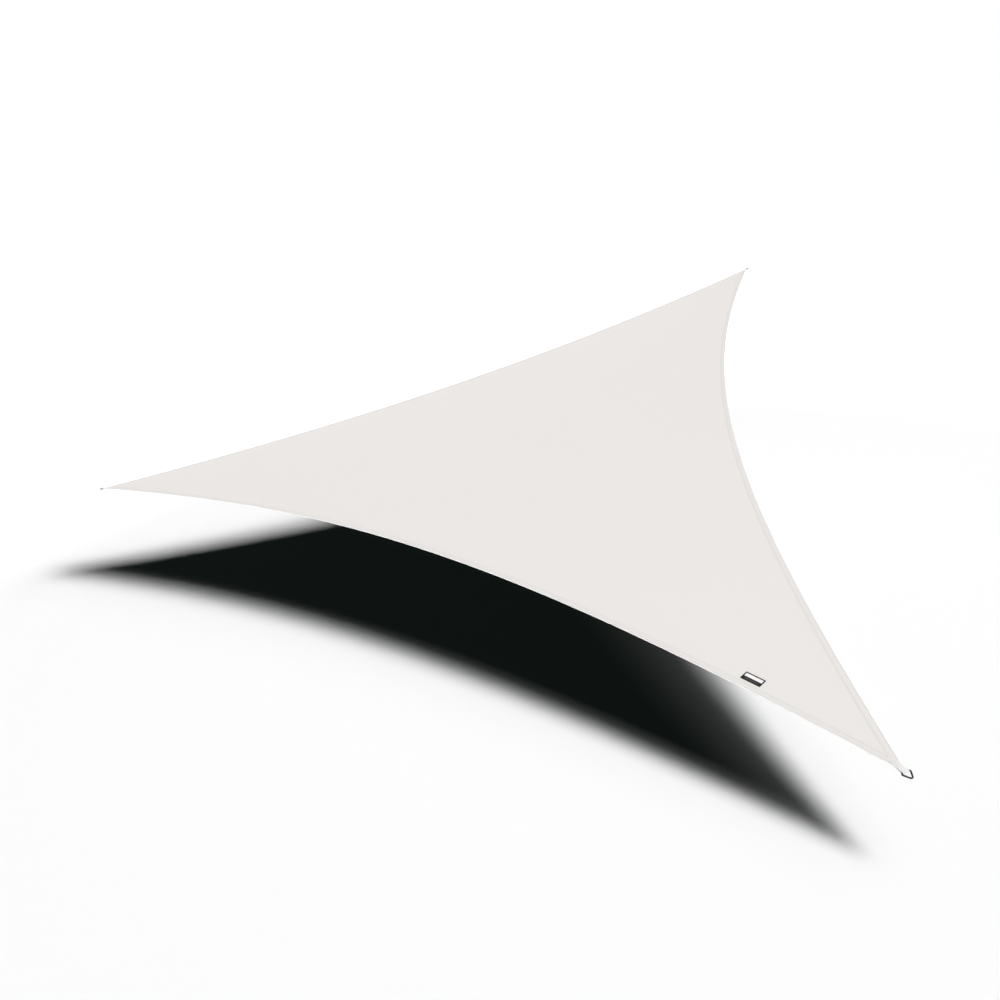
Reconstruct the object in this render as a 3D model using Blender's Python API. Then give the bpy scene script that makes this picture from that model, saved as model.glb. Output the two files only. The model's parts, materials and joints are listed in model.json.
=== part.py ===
"""Triangular shade sail, hung taut on a slope by a ring at each of its three corners.

Metres, +Z up. +X runs level along the front edge, from the left corner to the near corner, and +Y
towards the far corner, which hangs highest. The origin is the place in the far corner's ring where
a hook pulls. The sail is laid out flat first, on its own plane (u along the front edge, v towards
the far corner, w out of the cloth), and then lifted to the heights of its three corners.
"""

import math

import bmesh
import bpy
from mathutils import Matrix, Vector

# The cut of the cloth.
SIDE = 5.0                   # from corner point to corner point, the same on all three sides
EDGE_HOLLOW = 0.308          # how deep each edge curves in at its middle
EDGE_FLATNESS = -0.1         # below zero, the hollow is more pointed than a parabola
CLOTH_THICK = 0.0015
SAG = 0.015                  # how far the middle hangs below the three edges

# The hem, which is turned in all round and is part of the cloth.
HEM_WIDTH = 0.025
HEM_THICK = 0.004
HEM_STEP = 0.003             # length of the slope from the hem down to the single cloth
TIP_CUT = 0.014              # the cloth ends this far short of the corner point
EDGE_PARTS = 36              # facets along each edge
ROLL_PARTS = 4               # facets round the hem's outer edge

# How the corners hang, measured up from the near corner.
LEFT_RISE = 0.340
FAR_RISE = 1.077

# The rings, bent from round bar, with the base bar of each held by the strap.
BAR_THICK = 0.005
RING_SIDE = 0.033            # between the points where the bar's centre lines would cross
RING_BASE_BEND = 0.004       # bend radius of the centre line beside the base bar
RING_TIP_BEND = 0.005        # and at the ring's point, where a hook sits
RING_INSET = 0.009           # the base bar lies this far inside the corner point
BEND_PARTS = 5               # facets along each bend
BAR_FACETS = 12              # facets round the bar

# The straps, each folded round a base bar with both ends sewn to the cloth's tip.
STRAP_WIDTH = 0.020
STRAP_THICK = 0.0015
STRAP_REACH = 0.065          # its ends lie this far inside the corner point
STRAP_KNEE = 0.010           # its two legs start to spread this far short of the bar's centre
FOLD_PARTS = 10              # facets round the fold

# The label, sewn on beside the front edge.
LABEL_LENGTH = 0.075
LABEL_WIDTH = 0.0355
LABEL_THICK = 0.001
LABEL_FROM_CORNER = 0.528    # from the near corner point to its middle, along the front edge
LABEL_INSET = 0.051          # from the cloth's edge to its middle
LABEL_PARTS = (6, 3)         # facets along and across it

GAP = 0.0004                 # room left between pieces that touch

HEIGHT = SIDE * math.sqrt(3) / 2
CORNERS = {
    "left": Vector((0, 0)),
    "near": Vector((SIDE, 0)),
    "far": Vector((SIDE / 2, HEIGHT)),
}
CENTRE = Vector((SIDE / 2, HEIGHT / 3))
EDGES = (("left", "near"), ("near", "far"), ("far", "left"))
HALF_CORNER = math.radians(30)


# --- The flat layout ------------------------------------------------------------------------

def edge_axes(edge):
    """The edge's start, its direction, and the direction from it into the cloth."""
    start, end = (CORNERS[name] for name in edge)
    along = (end - start).normalized()
    return start, along, Vector((-along.y, along.x))


def hollow(share):
    """How far the edge has curved in, at this share of its length, and its slope there."""
    m = 2 * share - 1
    depth = EDGE_HOLLOW * (1 - m * m) * (1 + EDGE_FLATNESS * m * m)
    slope = 4 * EDGE_HOLLOW * m * (EDGE_FLATNESS - 1 - 2 * EDGE_FLATNESS * m * m) / SIDE
    return depth, slope


def local_edge_point(share, inset):
    """A point of the edge's curve, moved inset into the cloth, in the edge's own axes."""
    depth, slope = hollow(share)
    move = inset / math.hypot(1, slope)
    return Vector((share * SIDE - slope * move, depth + move))


def first_share(inset):
    """Where the curve at this inset starts: on the tip's cut, or else where it meets its neighbour."""

    def is_inside(share):
        x, y = local_edge_point(share, inset)
        past_cut = x * math.cos(HALF_CORNER) + y * math.sin(HALF_CORNER) > TIP_CUT
        past_neighbour = y < x * math.tan(HALF_CORNER)
        return past_cut and past_neighbour

    low, high = 0.0, 0.5
    for _ in range(50):
        middle = (low + high) / 2
        low, high = (low, middle) if is_inside(middle) else (middle, high)
    return high


def edge_point(edge, part, inset):
    """The point at this part, from 0 to 1, of the edge's curve at this inset, between its two ends."""
    start, along, inward = edge_axes(edge)
    first = first_share(inset)
    x, y = local_edge_point(first + (1 - 2 * first) * part, inset)
    return start + along * x + inward * y


def sag(point):
    """How far the cloth hangs below its flat plane: nothing at the edges, SAG in the middle."""
    depth = SAG
    for edge in EDGES:
        start, along, inward = edge_axes(edge)
        x, y = (point - start).dot(along), (point - start).dot(inward)
        depth *= max(y - hollow(x / SIDE)[0], 0) / (HEIGHT / 3 - EDGE_HOLLOW)
    return depth


# --- From the flat layout to where the sail hangs -------------------------------------------

def hanging_axes():
    """The directions of u, v and w once the corners are at their heights."""
    u_up = -LEFT_RISE / SIDE
    v_up = (FAR_RISE - LEFT_RISE - u_up * SIDE / 2) / HEIGHT
    u = Vector((math.sqrt(1 - u_up**2), 0, u_up))
    v_x = -u_up * v_up / u.x
    v = Vector((v_x, math.sqrt(1 - v_x**2 - v_up**2), v_up))
    return u, v, u.cross(v)


U_AXIS, V_AXIS, W_AXIS = hanging_axes()


def hung(point, w):
    """The place in space of a flat point, w above the plane through the corners."""
    return U_AXIS * point.x + V_AXIS * point.y + W_AXIS * w - ORIGIN


def corner_point(corner, outwards, across, w):
    """The place of a point given from a corner point: outwards, to the left of that, and up."""
    out = (CORNERS[corner] - CENTRE).normalized()
    left = Vector((-out.y, out.x))
    return hung(CORNERS[corner] + out * outwards + left * across, w)


def ring_bends():
    """Each bend of the ring: its centre (outwards, across), its radius, and its middle angle."""
    base = Vector((-RING_INSET, 0))
    point = base + Vector((RING_SIDE * math.cos(HALF_CORNER), 0))
    bends = [(point - Vector((2 * RING_TIP_BEND, 0)), RING_TIP_BEND, 0.0)]
    for turn in (120, 240):
        angle = math.radians(turn)
        foot = base + Vector((0, math.copysign(RING_SIDE / 2, math.sin(angle))))
        towards = Vector((math.cos(angle), math.sin(angle)))
        bends.append((foot - towards * 2 * RING_BASE_BEND, RING_BASE_BEND, angle))
    return bends


def hook_reach():
    """How far outside the corner point the middle facet of the ring's inner point lies."""
    centre, radius, _ = ring_bends()[0]
    inner = radius - BAR_THICK / 2 * math.cos(math.pi / BAR_FACETS)
    return centre.x + inner * math.cos(math.pi / 3 / BEND_PARTS)


ORIGIN = Vector((0, 0, 0))
ORIGIN = corner_point("far", hook_reach(), 0, 0)


# --- Shared helpers -------------------------------------------------------------------------

def finish(name, mesh_data, material):
    """An object made of this mesh data, shaded smooth but for its sharp edges."""
    bmesh.ops.recalc_face_normals(mesh_data, faces=mesh_data.faces)
    mesh = bpy.data.meshes.new(name)
    mesh_data.to_mesh(mesh)
    mesh_data.free()
    mesh.materials.append(material)
    mesh.shade_smooth()
    mesh.set_sharp_from_angle(angle=math.radians(35))
    piece = bpy.data.objects.new(name, mesh)
    bpy.context.scene.collection.objects.link(piece)
    return piece


def plain_material(name, colour, roughness, metallic=0.0):
    material = bpy.data.materials.new(name)
    material.use_nodes = True
    shader = material.node_tree.nodes["Principled BSDF"]
    shader.inputs["Base Color"].default_value = (*colour, 1.0)
    shader.inputs["Roughness"].default_value = roughness
    shader.inputs["Metallic"].default_value = metallic
    material.diffuse_color = (*colour, 1.0)
    return material


# --- The cloth ------------------------------------------------------------------------------

def hem_profile():
    """(inset, w) from the single cloth on top, out over the hem's rolled edge, and back below."""
    half = HEM_THICK / 2
    top = [(HEM_WIDTH + HEM_STEP, CLOTH_THICK / 2), (HEM_WIDTH, half)]
    angles = [math.pi * (0.5 - i / ROLL_PARTS) for i in range(ROLL_PARTS + 1)]
    roll = [(half * (1 - math.cos(a)), half * math.sin(a)) for a in angles]
    bottom = [(inset, -w) for inset, w in reversed(top)]
    return top + roll + bottom


def sail_cloth(material):
    """One closed sheet: hem and rolled edge all round, and single cloth inside them."""
    bm = bmesh.new()

    def cloth_vertex(point, w):
        return bm.verts.new(hung(point, w - sag(point)))

    # One line of points along each edge, for each place in the hem's profile. Deep lines meet
    # in one point at each corner, and shallow ones end on the tip's cut.
    lines = []
    for inset, w in hem_profile():
        rows = [
            [cloth_vertex(edge_point(edge, i / EDGE_PARTS, inset), w) for i in range(EDGE_PARTS + 1)]
            for edge in EDGES
        ]
        meets = inset > TIP_CUT
        if meets:
            for i, row in enumerate(rows):
                bm.verts.remove(row[-1])
                row[-1] = rows[(i + 1) % 3][0]
        lines.append((rows, meets))

    for (outer, outer_meets), (inner, inner_meets) in zip(lines, lines[1:]):
        for a, b in zip(outer, inner):
            for i in range(EDGE_PARTS):
                bm.faces.new((a[i], a[i + 1], b[i + 1], b[i]))
        if outer_meets != inner_meets:
            single, double = (outer, inner) if outer_meets else (inner, outer)
            for i in range(3):
                bm.faces.new((double[i][-1], double[(i + 1) % 3][0], single[i][-1]))

    # The flat end of each tip.
    cut_lines = [rows for rows, meets in lines if not meets]
    for i in range(3):
        going = [rows[i][-1] for rows in cut_lines]
        coming = [rows[(i + 1) % 3][0] for rows in reversed(cut_lines)]
        bm.faces.new(going + coming)

    for rows, w in ((lines[0][0], CLOTH_THICK / 2), (lines[-1][0], -CLOTH_THICK / 2)):
        single_cloth(bm, rows, w, cloth_vertex)
    return finish("sail_cloth", bm, material)


def single_cloth(bm, rows, w, cloth_vertex):
    """The triangle inside the hem, as a grid of small triangles that joins the hem's own points."""
    inset = HEM_WIDTH + HEM_STEP
    tips = [edge_point(edge, 0, inset) for edge in EDGES]
    grid = {}
    for i in range(EDGE_PARTS + 1):
        grid[(EDGE_PARTS - i, i, 0)] = rows[0][i]
        grid[(0, EDGE_PARTS - i, i)] = rows[1][i]
        grid[(i, 0, EDGE_PARTS - i)] = rows[2][i]

    for i in range(1, EDGE_PARTS):
        for j in range(1, EDGE_PARTS - i):
            weights = [i / EDGE_PARTS, j / EDGE_PARTS, (EDGE_PARTS - i - j) / EDGE_PARTS]
            point = sum((tip * weight for tip, weight in zip(tips, weights)), Vector((0, 0)))
            for n, edge in enumerate(EDGES):
                near_edge = weights[n] + weights[(n + 1) % 3]
                part = weights[(n + 1) % 3] / near_edge
                straight = tips[n].lerp(tips[(n + 1) % 3], part)
                point += (edge_point(edge, part, inset) - straight) * near_edge**2
            grid[(i, j, EDGE_PARTS - i - j)] = cloth_vertex(point, w)

    for i in range(EDGE_PARTS):
        for j in range(EDGE_PARTS - i):
            k = EDGE_PARTS - 1 - i - j
            bm.faces.new((grid[(i + 1, j, k)], grid[(i, j + 1, k)], grid[(i, j, k + 1)]))
            if k > 0:
                bm.faces.new((grid[(i + 1, j + 1, k - 1)], grid[(i, j + 1, k)], grid[(i + 1, j, k)]))


# --- The corners ----------------------------------------------------------------------------

def strap_line(spread, fold_radius):
    """(outwards, w) along one face of the strap: along a leg, round the bar and back."""
    bar = Vector((-RING_INSET, 0))
    knee = Vector((-STRAP_KNEE, spread))
    touch = math.atan2(knee.y, knee.x) - math.acos(fold_radius / knee.length)
    angles = [touch * (1 - 2 * i / FOLD_PARTS) for i in range(FOLD_PARTS + 1)]
    fold = [bar + Vector((math.cos(a), math.sin(a))) * fold_radius for a in angles]
    leg = [Vector((-STRAP_REACH, spread)), bar + knee]
    other_leg = [Vector((p.x, -p.y)) for p in reversed(leg)]
    return leg + fold + other_leg


def corner_strap(corner, material):
    """A flat strap with one fold, its legs over and under the tip of the hem."""
    bm = bmesh.new()
    spread = HEM_THICK / 2 + GAP
    fold_radius = BAR_THICK / 2 + GAP
    inner = strap_line(spread, fold_radius)
    outer = strap_line(spread + STRAP_THICK, fold_radius + STRAP_THICK)
    half = STRAP_WIDTH / 2
    stations = [
        [bm.verts.new(corner_point(corner, p.x, across, p.y)) for p, across in ring]
        for ring in (((a, -half), (b, -half), (b, half), (a, half)) for a, b in zip(inner, outer))
    ]
    for a, b in zip(stations, stations[1:]):
        for i in range(4):
            bm.faces.new((a[i], a[(i + 1) % 4], b[(i + 1) % 4], b[i]))
    bm.faces.new(stations[0])
    bm.faces.new(stations[-1])
    return finish(f"corner_strap_{corner}", bm, material)


def corner_ring(corner, material):
    """Round bar carried along the ring's three bends. The middle facet of the point faces inwards."""
    bm = bmesh.new()
    bend_half = math.pi / 3
    stations = []
    for centre, radius, middle in ring_bends():
        for i in range(BEND_PARTS + 1):
            angle = middle + bend_half * (2 * i / BEND_PARTS - 1)
            outwards = Vector((math.cos(angle), math.sin(angle)))
            station = []
            for j in range(BAR_FACETS):
                turn = 2 * math.pi * (j + 0.5) / BAR_FACETS
                p = centre + outwards * (radius + BAR_THICK / 2 * math.cos(turn))
                w = BAR_THICK / 2 * math.sin(turn)
                station.append(bm.verts.new(corner_point(corner, p.x, p.y, w)))
            stations.append(station)
    for a, b in zip(stations, stations[1:] + stations[:1]):
        for j in range(BAR_FACETS):
            bm.faces.new((a[j], a[(j + 1) % BAR_FACETS], b[(j + 1) % BAR_FACETS], b[j]))
    return finish(f"corner_ring_{corner}", bm, material)


# --- The label ------------------------------------------------------------------------------

def label(material):
    """A thin plate that lies on the cloth, its long side along the front edge."""
    share = 1 - LABEL_FROM_CORNER / SIDE
    slope = hollow(share)[1]
    along = Vector((1, slope)).normalized()
    inward = Vector((-along.y, along.x))
    middle = local_edge_point(share, LABEL_INSET)

    bm = bmesh.new()
    columns, rows = LABEL_PARTS
    flat = Matrix.Diagonal((LABEL_LENGTH, LABEL_WIDTH, 1, 1))
    bmesh.ops.create_grid(bm, x_segments=columns, y_segments=rows, size=0.5, matrix=flat)
    for vertex in bm.verts:
        point = middle + along * vertex.co.x + inward * vertex.co.y
        vertex.co = hung(point, CLOTH_THICK / 2 + GAP - sag(point))
    top = bmesh.ops.extrude_face_region(bm, geom=bm.faces[:], use_keep_orig=True)
    lifted = [part for part in top["geom"] if isinstance(part, bmesh.types.BMVert)]
    bmesh.ops.translate(bm, verts=lifted, vec=W_AXIS * LABEL_THICK)
    return finish("label", bm, material)


# --- The whole sail -------------------------------------------------------------------------

def main():
    for item in list(bpy.data.objects):
        bpy.data.objects.remove(item)

    cloth = plain_material("cloth", (0.81, 0.78, 0.76), 0.85)
    strap = plain_material("strap", (0.76, 0.73, 0.72), 0.80)
    ring = plain_material("ring", (0.035, 0.035, 0.037), 0.35, metallic=0.8)
    label_cloth = plain_material("label_cloth", (0.020, 0.019, 0.018), 0.75)

    sail_cloth(cloth)
    for corner in CORNERS:
        corner_strap(corner, strap)
        corner_ring(corner, ring)
    label(label_cloth)


main()
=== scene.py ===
# %% [markdown]
# # A triangular shade sail
#
# This lesson builds a garden shade sail: one triangle of off-white cloth with a hem all round,
# a folded strap and a triangular ring at each corner, and a small dark label beside the front
# edge. It hangs taut on a slope above a pale floor. The measured solids come first, as a fixed
# frame. Every piece we make is then laid out flat, as on a cutting table, and hung on that frame.

# %% Load the frame
import json
import math

import bpy
from mathutils import Matrix, Vector


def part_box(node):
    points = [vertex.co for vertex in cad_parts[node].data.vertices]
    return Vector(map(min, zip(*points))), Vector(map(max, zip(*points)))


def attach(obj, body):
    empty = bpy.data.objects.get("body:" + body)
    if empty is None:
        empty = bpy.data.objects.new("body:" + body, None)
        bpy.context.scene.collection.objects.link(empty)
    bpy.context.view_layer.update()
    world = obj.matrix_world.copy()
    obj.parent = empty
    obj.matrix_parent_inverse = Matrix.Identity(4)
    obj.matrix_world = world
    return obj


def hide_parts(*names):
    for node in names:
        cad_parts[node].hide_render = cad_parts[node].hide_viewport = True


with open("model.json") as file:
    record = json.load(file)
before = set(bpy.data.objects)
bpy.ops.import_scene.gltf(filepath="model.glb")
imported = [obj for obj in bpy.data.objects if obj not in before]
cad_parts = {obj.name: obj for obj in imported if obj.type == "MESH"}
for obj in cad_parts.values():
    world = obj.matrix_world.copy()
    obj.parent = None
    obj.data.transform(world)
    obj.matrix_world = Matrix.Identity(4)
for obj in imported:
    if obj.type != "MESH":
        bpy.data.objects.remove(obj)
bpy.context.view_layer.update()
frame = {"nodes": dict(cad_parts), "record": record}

print("solids in the frame:", ", ".join(sorted(frame["nodes"])))

# %% [markdown]
# ## Where the corners are
#
# A sail is bought by its side, from corner to corner. The frame's record says where a hook pulls
# in each ring, so the corners, the side and the slope can all be worked out from those three
# places. They could be typed in again, but then the sail would no longer follow its frame.

# %% The corners and the hanging matrix
HOOK_REACH = 0.0121          # a hook pulls this far outside the corner point

CORNERS = ("left", "near", "far")
mounts = {mount["name"]: mount for mount in frame["record"]["mounts"]}
hung_corners = {}
for corner in CORNERS:
    hook = mounts[f"{corner}_ring_hook"]
    hung_corners[corner] = Vector(hook["pos_m"]) + Vector(hook["axis"]) * HOOK_REACH

SIDE = (hung_corners["near"] - hung_corners["left"]).length
HEIGHT = SIDE * math.sqrt(3) / 2

u_axis = (hung_corners["near"] - hung_corners["left"]).normalized()
w_axis = u_axis.cross(hung_corners["far"] - hung_corners["left"]).normalized()
v_axis = w_axis.cross(u_axis)
HANG = Matrix.Translation(hung_corners["left"]) @ Matrix((u_axis, v_axis, w_axis)).transposed().to_4x4()

print(f"side {SIDE:.4f} m, height of the triangle {HEIGHT:.4f} m")
print("slope of the cloth: %.1f degrees" % math.degrees(w_axis.angle(Vector((0, 0, 1)))))

# %% [markdown]
# ## The camera
#
# The camera stands close to the near corner, a little above the sail, and is tipped a few degrees
# to one side, so the near corner looks large and the far ones small. Its place and its three
# angles are set as numbers. Aiming it at an empty would be quicker, but would not give the tilt.

# %% Camera
CAMERA_PLACE = (3.0120, -6.2780, 0.4291)
CAMERA_HEADING = math.radians(43.920)    # turned left from looking along +Y
CAMERA_PITCH = math.radians(17.076)      # tipped down
CAMERA_ROLL = math.radians(-8.109)
CAMERA_LENS = 29.51                      # millimetres, as is the sensor's width
CAMERA_SENSOR = 36
PICTURE_SIZE = 1000                      # pixels, both ways

bpy.ops.object.camera_add(location=CAMERA_PLACE)
camera = bpy.context.object
camera.name = "camera"
camera.data.sensor_width = CAMERA_SENSOR
camera.data.lens = CAMERA_LENS
camera.matrix_world = (
    Matrix.Translation(CAMERA_PLACE)
    @ Matrix.Rotation(CAMERA_HEADING, 4, "Z")
    @ Matrix.Rotation(math.radians(90) - CAMERA_PITCH, 4, "X")
    @ Matrix.Rotation(CAMERA_ROLL, 4, "Z")
)
bpy.context.scene.camera = camera
bpy.context.view_layer.update()


def picture_place(point):
    """Where a point of the scene comes to lie in the picture, in pixels right and down."""
    x, y, z = camera.matrix_world.inverted() @ Vector(point)
    scale = PICTURE_SIZE * CAMERA_LENS / CAMERA_SENSOR
    middle = PICTURE_SIZE / 2
    return round(middle - x / z * scale, 1), round(middle + y / z * scale, 1)


for corner in CORNERS:
    print(corner, "corner point in the picture:", picture_place(hung_corners[corner]))

# %% [markdown]
# ## The flat layout
#
# A sail's edges are cut hollow, because a straight edge would flutter. Each edge is a shallow
# curve, nearly a parabola, and the hem runs beside it. These helpers give any point beside an
# edge, measured in from it, in the flat layout: u along the front edge, v towards the far corner
# and w out of the cloth. One formula serves the cloth, the hem and the rows of stitches alike.

# %% Edges of the cut
EDGE_HOLLOW = 0.0616 * SIDE  # how deep each edge curves in at its middle
EDGE_FLATNESS = -0.1         # below zero, the hollow is more pointed than a parabola
TIP_CUT = 0.014              # the cloth ends this far short of the corner point
SAG = 0.003 * SIDE           # how far the middle hangs below the three edges

FLAT = {
    "left": Vector((0, 0)),
    "near": Vector((SIDE, 0)),
    "far": Vector((SIDE / 2, HEIGHT)),
}
CENTRE = Vector((SIDE / 2, HEIGHT / 3))
EDGES = (("left", "near"), ("near", "far"), ("far", "left"))
HALF_CORNER = math.radians(30)
HALVINGS = 40                # steps of the search for a line's start
TINY = 1e-6


def hollow(share):
    """How far the edge has curved in, at this share of its length, and its slope there."""
    m = 2 * share - 1
    depth = EDGE_HOLLOW * (1 - m * m) * (1 + EDGE_FLATNESS * m * m)
    slope = 4 * EDGE_HOLLOW * m * (EDGE_FLATNESS - 1 - 2 * EDGE_FLATNESS * m * m) / SIDE
    return depth, slope


def beside_edge(share, inset):
    """A point of the edge's curve, moved in by inset, measured along the edge and in from it."""
    depth, slope = hollow(share)
    move = inset / math.hypot(1, slope)
    return share * SIDE - slope * move, depth + move


def side_axes(edge):
    """Where a side of the triangle starts, the way it runs and the way in from it."""
    start, end = (FLAT[corner] for corner in edge)
    runs = (end - start).normalized()
    return start, runs, Vector((-runs.y, runs.x))


def in_layout(edge, along, inwards):
    """The flat point this far along a side of the triangle, and this far in from it."""
    start, runs, turned_in = side_axes(edge)
    return start + runs * along + turned_in * inwards


def tip_limit(inset):
    """The share of the edge where the line at this inset starts, and whether it starts on the
    tip's cut. Deeper lines start where they meet the line of the next edge."""
    low, high = 0.0, 0.5
    for _ in range(HALVINGS):
        middle = (low + high) / 2
        x, y = beside_edge(middle, inset)
        past_cut = x * math.cos(HALF_CORNER) + y * math.sin(HALF_CORNER) > TIP_CUT
        past_neighbour = y < x * math.tan(HALF_CORNER)
        low, high = (low, middle) if past_cut and past_neighbour else (middle, high)
    x, y = beside_edge(high, inset)
    return high, y < x * math.tan(HALF_CORNER) - TINY


def sag(point):
    """How far the cloth hangs below its flat plane: nothing at the edges, SAG in the middle."""
    depth = SAG
    for edge in EDGES:
        start, runs, turned_in = side_axes(edge)
        along = (point - start).dot(runs)
        inwards = (point - start).dot(turned_in)
        depth *= max(inwards - hollow(along / SIDE)[0], 0) / (HEIGHT / 3 - EDGE_HOLLOW)
    return depth


def turned(angle):
    """A direction with no height, turned this far from +X towards +Y."""
    return Vector((math.cos(angle), math.sin(angle), 0))


print(f"hollow at the middle of an edge: {hollow(0.5)[0] * 1000:.0f} mm")
print(f"sag at the middle of the cloth: {sag(CENTRE) * 1000:.0f} mm")

# %% [markdown]
# ## Helpers for nodes
#
# The floor and every finish are built from shader nodes. By hand they would be placed and wired in
# the node editor. Here a helper adds a node and fills its sockets, so each recipe stays short.

# %% Nodes and new materials
def node(tree, kind, **sockets):
    """Adds a node and fills inputs of these names, or numbers such as _0, with links or values."""
    made = tree.nodes.new(kind)
    for name, value in sockets.items():
        socket = made.inputs[int(name[1:])] if name[0] == "_" else made.inputs[name.replace("_", " ")]
        if isinstance(value, bpy.types.NodeSocket):
            tree.links.new(value, socket)
        else:
            socket.default_value = value
    return made


def maths(tree, operation, *values):
    """The result of one Math node."""
    made = node(tree, "ShaderNodeMath", **{f"_{i}": value for i, value in enumerate(values)})
    made.operation = operation
    return made.outputs["Value"]


def object_place(tree):
    """Where a point is, in metres, in the frame that all pieces share."""
    return tree.nodes.new("ShaderNodeTexCoord").outputs["Object"]


def new_material(name, roughness, sheen=0.0, specular=0.3):
    """A material, its node tree and its shader."""
    material = bpy.data.materials.new(name)
    material.use_nodes = True
    shader = material.node_tree.nodes["Principled BSDF"]
    shader.inputs["Roughness"].default_value = roughness
    shader.inputs["Specular IOR Level"].default_value = specular
    shader.inputs["Sheen Weight"].default_value = sheen
    shader.inputs["Sheen Roughness"].default_value = 0.6
    return material, material.node_tree, shader


print("helpers for nodes are ready")

# %% [markdown]
# ## Floor, background and light
#
# The picture is a studio one: white all over, with one soft, very dark shadow. That shadow is a
# little larger than the sail on all sides, so its light stands near, some eleven metres off: a sun
# would throw it at the sail's own size. It is softest at the back edge, so the light is a wide one.
# Three large globes in a level row stand for it. A fourth, weaker globe at less than half that
# distance gives the shadow its faint and much wider rim. The far floor has its own light, as a
# studio backdrop has, so it stays white. The sail gets a sun of its own, because so near a light
# would leave its corners uneven, and a fill level with the cloth lights the front of the hem.

# %% Where the globes stand
LAMP_ELEVATION = math.radians(50.7)
LAMP_HEADING = math.radians(34.7)        # from +X towards +Y
KEY_DISTANCE = 2.3 * SIDE                # from the sail's middle to the middle key lamp
KEY_ROW_HEADING = math.radians(154)      # the way that the row of key lamps runs
KEY_ROW_STEP = 0.39 * SIDE
RIM_DISTANCE = 1.0 * SIDE

hung_middle = sum(hung_corners.values(), Vector()) / 3
lamp_side = turned(LAMP_HEADING) * math.cos(LAMP_ELEVATION)
lamp_side.z = math.sin(LAMP_ELEVATION)
key_place = hung_middle + lamp_side * KEY_DISTANCE
key_row = turned(KEY_ROW_HEADING) * KEY_ROW_STEP
print("the middle key lamp stands at", [round(value, 2) for value in key_place])

# %% Floor
FLOOR_BELOW_CORNER = 0.211   # from the near corner point down to the floor
FLOOR_SIZE = 400.0
PAPER_TONE = 0.60            # straight below the middle key lamp
PAPER_MOST = 0.96
BACKDROP_START = 0.66 * SIDE # from the sail's middle to where the floor's own light starts
BACKDROP_FULL = 1.3 * SIDE

floor_height = hung_corners["near"].z - FLOOR_BELOW_CORNER
bpy.ops.mesh.primitive_plane_add(size=FLOOR_SIZE, location=(0, 0, floor_height))
floor = bpy.context.object
floor.name = "floor"
floor.visible_shadow = False             # the fill lamp shines up through it
bpy.ops.object.transform_apply()

print(f"floor at z = {floor_height:.3f} m")


# %% The floor's paper
def distance_from(tree, point):
    """How far each point of the surface is from this one."""
    made = node(tree, "ShaderNodeVectorMath", _0=object_place(tree), _1=point)
    made.operation = "DISTANCE"
    return made.outputs["Value"]


floor_paper, tree, shader = new_material("floor_paper", 1.0, specular=0.0)
lamp_height = key_place.z - floor_height
slant = maths(tree, "MULTIPLY", distance_from(tree, key_place), PAPER_TONE / lamp_height)
tree.links.new(maths(tree, "MINIMUM", slant, PAPER_MOST), shader.inputs["Base Color"])
away = distance_from(tree, (hung_middle.x, hung_middle.y, floor_height))
backdrop = node(tree, "ShaderNodeMapRange", Value=away, From_Min=BACKDROP_START, From_Max=BACKDROP_FULL)
backdrop.interpolation_type = "SMOOTHSTEP"
shader.inputs["Emission Color"].default_value = (1, 1, 1, 1)
tree.links.new(backdrop.outputs["Result"], shader.inputs["Emission Strength"])
floor.data.materials.append(floor_paper)
print(f"the middle key lamp is {lamp_height:.2f} m above the paper")

# %% Lamps
KEY_SOFTNESS = math.radians(14)          # how wide each lamp looks from the sail
RIM_SOFTNESS = math.radians(48)
SAIL_SUN_SOFTNESS = math.radians(18)
FILL_SOFTNESS = math.radians(30)

KEY_STRENGTH = 1.36
RIM_STRENGTH = 0.32
SAIL_SUN_STRENGTH = 3.55
SAIL_SUN_LEAN = 0.55                     # 0 shines straight down on the cloth, 1 as the key lamp
FILL_STRENGTH = 2.0


def light_only(lamp, lit):
    """Makes a lamp shine on these objects only."""
    receivers = bpy.data.collections.new(f"{lamp.name}_receivers")
    for thing in lit:
        receivers.objects.link(thing)
    lamp.light_linking.receiver_collection = receivers


def sun_lamp(name, towards, strength, softness, lit):
    """A sun shining from this direction on these objects only."""
    bpy.ops.object.light_add(type="SUN", location=(0, 0, 5))
    lamp = bpy.context.object
    lamp.name = name
    lamp.data.energy = strength
    lamp.data.angle = softness
    lamp.data.cycles.use_multiple_importance_sampling = False
    lamp.rotation_euler = towards.to_track_quat("Z", "Y").to_euler()
    light_only(lamp, lit)
    return lamp


def globe_lamp(name, place, strength, softness, lit):
    """A globe that lights these objects as a sun of this strength would, at any distance."""
    bpy.ops.object.light_add(type="POINT", location=place)
    lamp = bpy.context.object
    lamp.name = name
    lamp.data.energy = 4 * math.pi**2    # with a constant falloff, as bright as a sun of 1
    lamp.data.shadow_soft_size = (place - hung_middle).length * math.tan(softness / 2)
    lamp.data.cycles.use_multiple_importance_sampling = False
    lamp.data.use_nodes = True
    tree = lamp.data.node_tree
    falloff = node(tree, "ShaderNodeLightFalloff", Strength=strength)
    tree.links.new(falloff.outputs["Constant"], tree.nodes["Emission"].inputs["Strength"])
    light_only(lamp, lit)
    return lamp


row_places = [key_place + key_row * step for step in (-1, 0, 1)]
floor_lamps = [
    globe_lamp(f"key_lamp_{n}", place, KEY_STRENGTH / len(row_places), KEY_SOFTNESS, [floor])
    for n, place in enumerate(row_places, start=1)
]
rim_place = hung_middle + lamp_side * RIM_DISTANCE
floor_lamps.append(globe_lamp("rim_lamp", rim_place, RIM_STRENGTH, RIM_SOFTNESS, [floor]))
print("lamps for the floor:", ", ".join(lamp.name for lamp in floor_lamps))

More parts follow.
